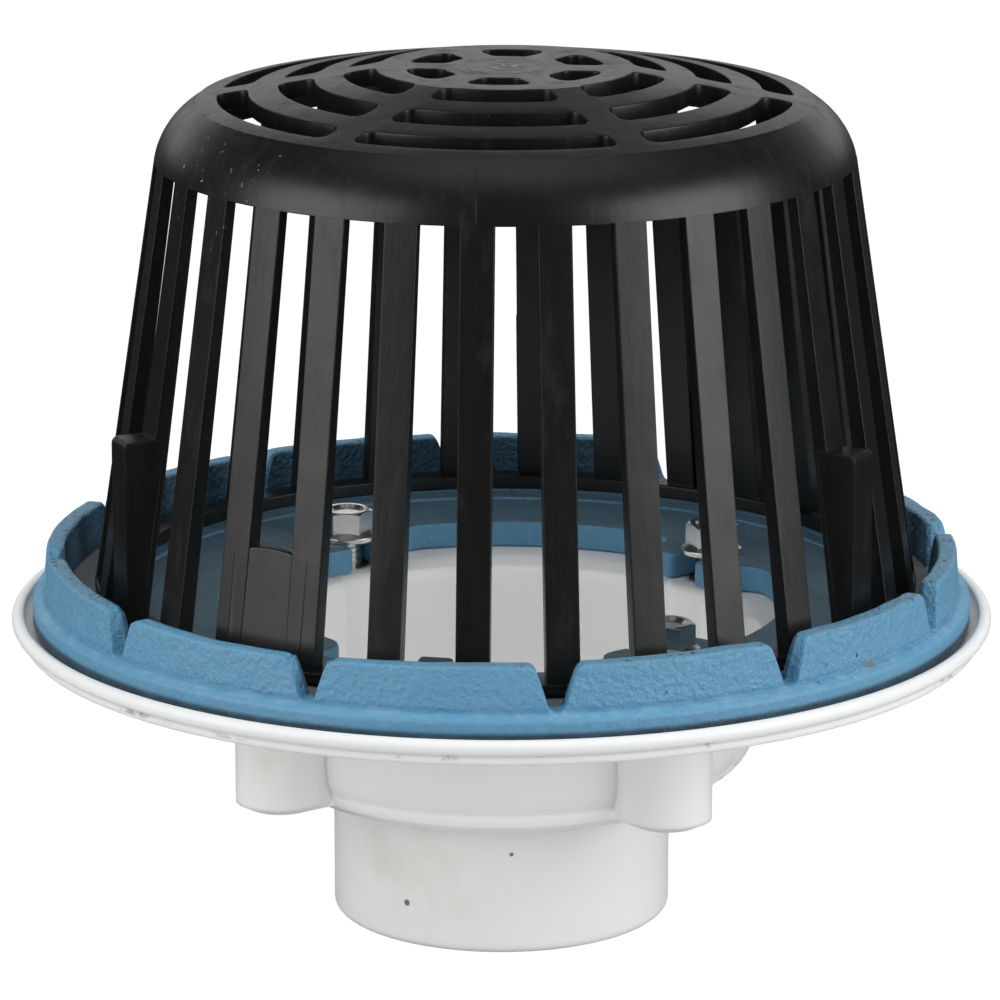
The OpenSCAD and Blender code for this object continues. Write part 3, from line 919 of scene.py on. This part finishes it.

# %% [markdown]
# ## White PVC
#
# The body is a bright, slightly cool white with a soft gloss. It has been handled: faint yellow
# stains on the hub, a few dark specks, and brown scuffs under the rim. Its inner corners are small
# moulded fillets, which a Bevel node rounds without any more geometry. The sump's wall is thin, and
# its inside is given a faint painted glow, an emission that stands in for light let through the wall.

# %% White PVC
# The emission strength set here drives the painted glow inside the sump.
pvc = Finish("white_pvc", Emission_Strength=0.13, IOR=1.5)
tone = pvc.mix(pvc.noise(22, 4) * 0.5, (0.90, 0.907, 0.905), (0.865, 0.872, 0.865))
stain = pvc.near((-24, -45, 24), 26) * pvc.ease(pvc.noise(55, 4), 0.42, 0.68)
tone = pvc.mix(stain * 0.5, tone, (0.80, 0.76, 0.64))
stain = pvc.near((-75, -72, 70), 22) * pvc.ease(pvc.noise(60, 4), 0.45, 0.7)
tone = pvc.mix(stain * 0.5, tone, (0.78, 0.72, 0.62))
under_bead = (pvc.span(pvc.z, pan_z - 0.6, pan_z + 0.2, pan_z + 1.6, pan_z + 2.6)
              * pvc.ease(pvc.radius, flange_r - 4.5, flange_r - 3.5))
scuff = under_bead * pvc.ease(pvc.noise(70, 5, 0.65), 0.54, 0.66)
tone = pvc.mix(scuff * 0.75, tone, (0.30, 0.26, 0.22))
print("scuffs lie under the rim between", round(pan_z - 0.6, 1), "and", round(pan_z + 2.6, 1), "mm")

# %% Specks on the PVC
spread = {"Vector": pvc.where, "Scale": 75.0}
distance = pvc.node("ShaderNodeTexVoronoi", {}, spread, "Distance")
chance = pvc.node("ShaderNodeSeparateColor", {}, {0: pvc.node("ShaderNodeTexVoronoi", {}, spread, "Color")})
speck = pvc.ease(distance, 0.05, 0.03) * pvc.ease(chance, 0.90, 0.92)
large_specks = (((-28.5, -42.9, 13.5), 1.3), ((3.0, -51.4, 31.5), 0.8), ((2.5, -75.4, 68.5), 1.1),
                ((14, -51, 36), 0.7))
for spot, reach in large_specks:
    speck = speck + pvc.near(spot, reach)
tone = pvc.mix(speck * 0.85, tone, (0.06, 0.055, 0.05))
pvc.feed("Base Color", tone)
print("specks placed by hand:", len(large_specks))

# %% Gloss and painted glow of the PVC
# Painted glow: the sump's inside wall emits a faint warm light that stands in for light through the thin PVC.
inside = (pvc.ease(pvc.radius, sump_r - 2, sump_r - 3)
          * pvc.span(pvc.z, bore_top + 0.5, bore_top + 1.5, pan_z - 3, pan_z - 0.5))
pvc.feed("Emission Color", pvc.mix(inside, (0, 0, 0), (1.0, 0.985, 0.94)))
pvc.feed("Roughness", 0.3 + pvc.noise(140, 4) * 0.14)
pvc.feed("Normal", pvc.bump(pvc.noise(420, 3), 0.05, 0.5, pvc.rounded_edges(2.2, 6)))
coat(body, pvc)

# %% [markdown]
# ## Paint on sand-cast iron
#
# The ring is light blue paint over a sand casting, so its surface has grains about a millimetre
# across. The paint is worn through to brown iron along the teeth's tips, a painted highlight lightens
# the teeth's foot, dust and painted shade grey and darken what lies flat inside the crown, and painted
# shade darkens the casting's corners and the line under its ledge.

# %% Blue paint
blue = Finish("blue_paint", IOR=1.5)
paint = blue.mix(blue.noise(30, 4), (0.098, 0.282, 0.455), (0.135, 0.345, 0.525))
paint = blue.mix(blue.ease(blue.noise(260, 4), 0.45, 0.75) * 0.35, paint, (0.17, 0.38, 0.55))
print("paint is mixed from two blues with paler flecks")

# %% Dust and painted shade inside the crown
normal = blue.node("ShaderNodeNewGeometry", output="Normal")
up = blue.ease(blue.part(normal, 2), 0.75, 0.97)
inside_crown = (blue.ease(blue.radius, crown_in + 0.9, crown_in - 1.1)
                * blue.ease(blue.z, web_top - 2, web_top - 1))
# Dust and painted shade: upward faces inside the crown are mixed to a dark grey, partly dust and partly the
# shade under the dome.
dust_and_shade = up * inside_crown * (0.4 + blue.noise(60, 5, 0.6) * 0.6)
paint = blue.mix(dust_and_shade, paint, (0.085, 0.110, 0.120))
sill = up * blue.ease(blue.radius, foot_r - 1.3, foot_r + 0.2) * inside_crown
paint = blue.mix(sill * (0.5 + blue.noise(45, 4) * 0.5), paint, (0.16, 0.14, 0.125))
print("dust lies inside a radius of", round(crown_in, 1), "mm")

# %% Wear along the teeth, and a painted highlight at their foot
# Painted highlight: a lighter blue line along the foot of the teeth.
foot_highlight = (blue.span(blue.z, land_z - 1.5, land_z - 0.2, land_z + 0.3, land_z + 1.5)
             * blue.ease(blue.radius, crown_r - 0.6, crown_r + 0.4))
paint = blue.mix(foot_highlight * blue.ease(blue.noise(180, 4), 0.4, 0.7) * 0.5, paint, (0.26, 0.45, 0.60))
tip = blue.ease(blue.z, crown_top - 1.4, crown_top - 0.3)
worn = tip * blue.ease(blue.noise(420, 4, 0.6), 0.60, 0.66) * blue.ease(blue.noise(60, 2), 0.40, 0.55)
paint = blue.mix(tip * 0.3, paint, (0.13, 0.20, 0.24))
chip = blue.ease(blue.noise(210, 3, 0.6), 0.70, 0.74) * blue.ease(blue.z, land_z - 2.5, land_z - 0.5)
bare = worn + chip
print("tips are worn above", round(crown_top - 1.4, 1), "mm")

# %% Painted shade in the casting's corners
# Painted shade: the land's step, which the dome's foot ring shades, is darkened.
wall = (blue.span(blue.z, web_top + 0.3, web_top + 1, land_z - 0.1, land_z + 0.3)
        * blue.span(blue.radius, land_r - 2.5, land_r - 1.5, land_r + 0.5, land_r + 1.5))
paint = blue.mix(wall * 0.75, paint, (0.030, 0.050, 0.065))
# Painted shade: the crown's inside faces, up to the worn tips, are darkened.
inner = blue.ease(blue.radius, crown_in + 1.9, crown_in + 0.9) * blue.ease(blue.z, land_z + 0.1, land_z + 1.1)
paint = blue.mix(inner * (1 - tip) * 0.8, paint, (0.022, 0.060, 0.100))
# Painted shadow: a dark line along the bottom of the ledge's rim, where it meets the flange.
ledge_shadow = blue.ease(blue.z, web_top - 1.1, web_top - 2.7) * blue.ease(blue.radius, ring_r - 3, ring_r - 2)
paint = blue.mix(ledge_shadow * (0.6 + blue.noise(120, 3) * 0.4), paint, (0.020, 0.024, 0.026))
print("grime sits under", round(web_top - 1.1, 1), "mm at the ledge's edge")

# %% Bare iron, rubs and the rest of the paint
paint = blue.mix(bare, paint, (0.055, 0.036, 0.026))
rub = (blue.near((111, -90, 99.5), 9) * blue.ease(blue.noise(260, 4, 0.6), 0.5, 0.6)
       * blue.ease(blue.z, web_top - 1, web_top))
paint = blue.mix(rub * 0.8, paint, (0.19, 0.20, 0.18))
scratch = blue.near((104, -97, 101), 4) * blue.ease(blue.noise(500, 4, 0.7), 0.58, 0.64)
paint = blue.mix(scratch, paint, (0.62, 0.64, 0.64))
blue.feed("Base Color", paint)
blue.feed("Roughness", 0.40 + blue.noise(90, 3) * 0.15 + bare * 0.2)
cast = blue.noise(560, 2, 0.5) * (0.35 + blue.ease(blue.z, land_z, land_z + 2) * 0.65)
grain = cast + blue.noise(170, 2) * 0.3 - bare * 0.2
blue.feed("Normal", blue.bump(grain, 1.15, 1.0, blue.rounded_edges(0.8, 6)))
coat(ring, blue)

# %% [markdown]
# ## Black polyethylene
#
# The dome's plastic is nearly black, and what is seen of it is mostly the studio mirrored in its
# satin surface. Faint flow streaks run up the ribs, and pale scuffs sit on the shoulder.

# %% Black polyethylene
poly = Finish("black_poly", IOR=1.56)
streak = poly.noise(300, 4, 0.6, stretch=(1, 1, 0.06))
shade = poly.mix(streak, (0.0042, 0.0042, 0.0040), (0.0078, 0.0078, 0.0073))
scratch = poly.near((-80, -58, 243), 30) * poly.ease(poly.noise(420, 5, 0.7), 0.635, 0.70)
fleck = poly.ease(poly.noise(330, 5, 0.7), 0.735, 0.76) * poly.ease(poly.z, band_z - 6, band_z + 2)
gate = poly.near((seat_x, 0, crest_z), 7) * poly.ease(poly.noise(330, 4, 0.6), 0.36, 0.60)
scuff = (scratch + fleck * 0.6) * 0.8 + gate * 0.35
shade = poly.mix(scuff, shade, (0.34, 0.34, 0.33))
smear = poly.ease(poly.noise(120, 6, 0.75, stretch=(1, 1, 0.3)), 0.50, 0.72)
shade = poly.mix(smear * 0.5, shade, (0.018, 0.018, 0.017))
poly.feed("Base Color", shade)
poly.feed("Roughness", 0.25 + streak * 0.1 + poly.noise(40, 3) * 0.08 + smear * 0.12)
print("flecks start at", round(band_z - 6, 1), "mm, on the band")

# %% Marks of the mould
out = ((poly.x - seat_x) ** 2 + poly.y * poly.y) ** 0.5
ring_mark = poly.span(out, 11.8, 12.1, 12.5, 12.8)
seam = (poly.span(poly.x, -7.3, -7.1, -6.9, -6.7) * poly.ease(poly.y, -90, -95)
        * poly.ease(poly.z, band_z - 2, band_z + 2))
height = (streak * 0.16 + poly.noise(900, 2) * 0.05 + poly.noise(60, 2) * 0.5 + gate
          + seam * 0.12 - ring_mark * 0.7)
poly.feed("Normal", poly.bump(height, 0.35, 1.0, poly.rounded_edges(0.5, 4)))
coat(dome, poly)

# %% [markdown]
# ## Zinc and brass
#
# The bolts are bright zinc with the light haze that plating has, and the hidden inserts are plain
# machined brass.

# %% Metals
zinc = Finish("zinc_plate", Metallic=1.0)
zinc.feed("Base Color", zinc.mix(zinc.noise(300, 4), (0.78, 0.78, 0.76), (0.90, 0.90, 0.88)))
zinc.feed("Roughness", 0.17 + zinc.noise(500, 3) * 0.14)
zinc.feed("Normal", zinc.bump(zinc.noise(700, 2), 0.008))
coat(bolts, zinc)
brass = Finish("brass", Metallic=1.0)
brass.feed("Base Color", brass.mix(brass.noise(400, 3), (0.60, 0.44, 0.18), (0.68, 0.52, 0.25)))
brass.feed("Roughness", 0.28 + brass.noise(700, 3) * 0.1)
coat(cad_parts["threaded_inserts"], brass)

# %% [markdown]
# ## Studio
#
# The drain stands on a white sweep under broad soft light. The floor and the world are white to the
# eye by way of the Light Path, and the floor keeps a soft shadow. What the black plastic mirrors
# shapes it: a large soft box stands on each side of the camera, the sweep glows low down behind the
# drain and the ceiling glows above it. The room is dark between them, so the ribs in front go black
# and those towards the sides turn grey.

# %% Floor
def mix_shaders(nodes, factor, first, second):
    """From the first shader to the second as the factor goes from 0 to 1."""
    return nodes.node("ShaderNodeMixShader", {}, {0: factor, 1: first, 2: second})


fresh()
bpy.ops.mesh.primitive_plane_add(size=8, location=(0, 0, -0.1 * MM))
floor = bpy.context.object
floor.name = "floor"
sweep = bpy.data.materials.new("studio_floor")
sweep.use_nodes = True
sweep.node_tree.nodes.clear()
ground = Nodes(sweep.node_tree)
paper = ground.node("ShaderNodeBsdfDiffuse", {}, {"Color": (0.7, 0.7, 0.7, 1)})
glow = ground.node("ShaderNodeEmission", {}, {"Strength": 1.17})
bright = mix_shaders(ground, ground.node("ShaderNodeLightPath", output="Is Camera Ray") * 0.84, paper, glow)
clear = ground.node("ShaderNodeBsdfTransparent")
whole = mix_shaders(ground, ground.node("ShaderNodeLightPath", output="Is Glossy Ray"), bright, clear)
ground.tree.links.new(whole.socket, ground.tree.nodes.new("ShaderNodeOutputMaterial").inputs["Surface"])
floor.data.materials.append(sweep)
floor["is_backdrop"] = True
print("the floor lies", round(-floor.location.z / MM, 2), "mm under the hub")

# %% World
world = bpy.data.worlds.new("studio")
world.use_nodes = True
world.node_tree.nodes.clear()
bpy.context.scene.world = world
air = Nodes(world.node_tree)
toward = air.node("ShaderNodeTexCoord", output="Generated")
away, above = (air.node("ShaderNodeVectorMath", {"operation": "DOT_PRODUCT"}, {0: toward, 1: axis}, "Value")
               for axis in ((0, 1, 0), (0, 0, 1)))
camera_ray, glossy_ray, through_ray = (air.node("ShaderNodeLightPath", output=kind) for kind in (
    "Is Camera Ray", "Is Glossy Ray", "Is Transmission Ray"))
sweep_glow = air.span(above, 0, 0.12, 0.27, 0.46) * 0.85 * air.ease(away, 0.55, 0.85)
ceiling = 0.035 + air.ease(above, 0.80, 0.99) * 0.515
room = glossy_ray * (sweep_glow + ceiling) + (1 - glossy_ray) * 0.36
seen = camera_ray.math("MAXIMUM", through_ray)
level = seen + (1 - seen) * room
sky = air.node("ShaderNodeBackground", {}, {"Strength": level, "Color": (1, 1, 1, 1)})
air.tree.links.new(sky.socket, air.tree.nodes.new("ShaderNodeOutputWorld").inputs["Surface"])
print("the world's light takes", len(air.tree.nodes), "nodes")

# %% Lamps
aim_height = 0.12


def soft_box(name, degrees, distance, height, width, tall, power):
    """A soft lamp that stands at a direction from the front and looks at the drain."""
    spot = Vector((*polar(degrees, distance), height))
    bpy.ops.object.light_add(type="AREA", location=spot)
    lamp = bpy.context.object
    lamp.name = name
    lamp.data.shape = "RECTANGLE"
    lamp.data.size, lamp.data.size_y = width, tall
    lamp.data.energy = power
    lamp.rotation_euler = (Vector((0, 0, aim_height)) - spot).to_track_quat("-Z", "Y").to_euler()
    print(name, "gives", power, "W from", degrees, "degrees")
    return lamp


fresh()
soft_box("left_box", -62, 1.6, 0.65, 1.4, 1.2, 13)
soft_box("right_box", 62, 1.6, 0.65, 1.4, 1.2, 16.5)
soft_box("overhead", 0, 0.15, 1.7, 0.7, 0.7, 9).visible_glossy = False
bpy.context.scene.view_settings.view_transform = "Standard"

# %% [markdown]
# ## The dressed size
#
# The dressed drain must keep the size of the packed one, so its box is printed.

# %% Sizes and finish
low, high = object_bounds()
print("dressed box in mm:", [round(v / MM, 1) for v in (*low, *high)])
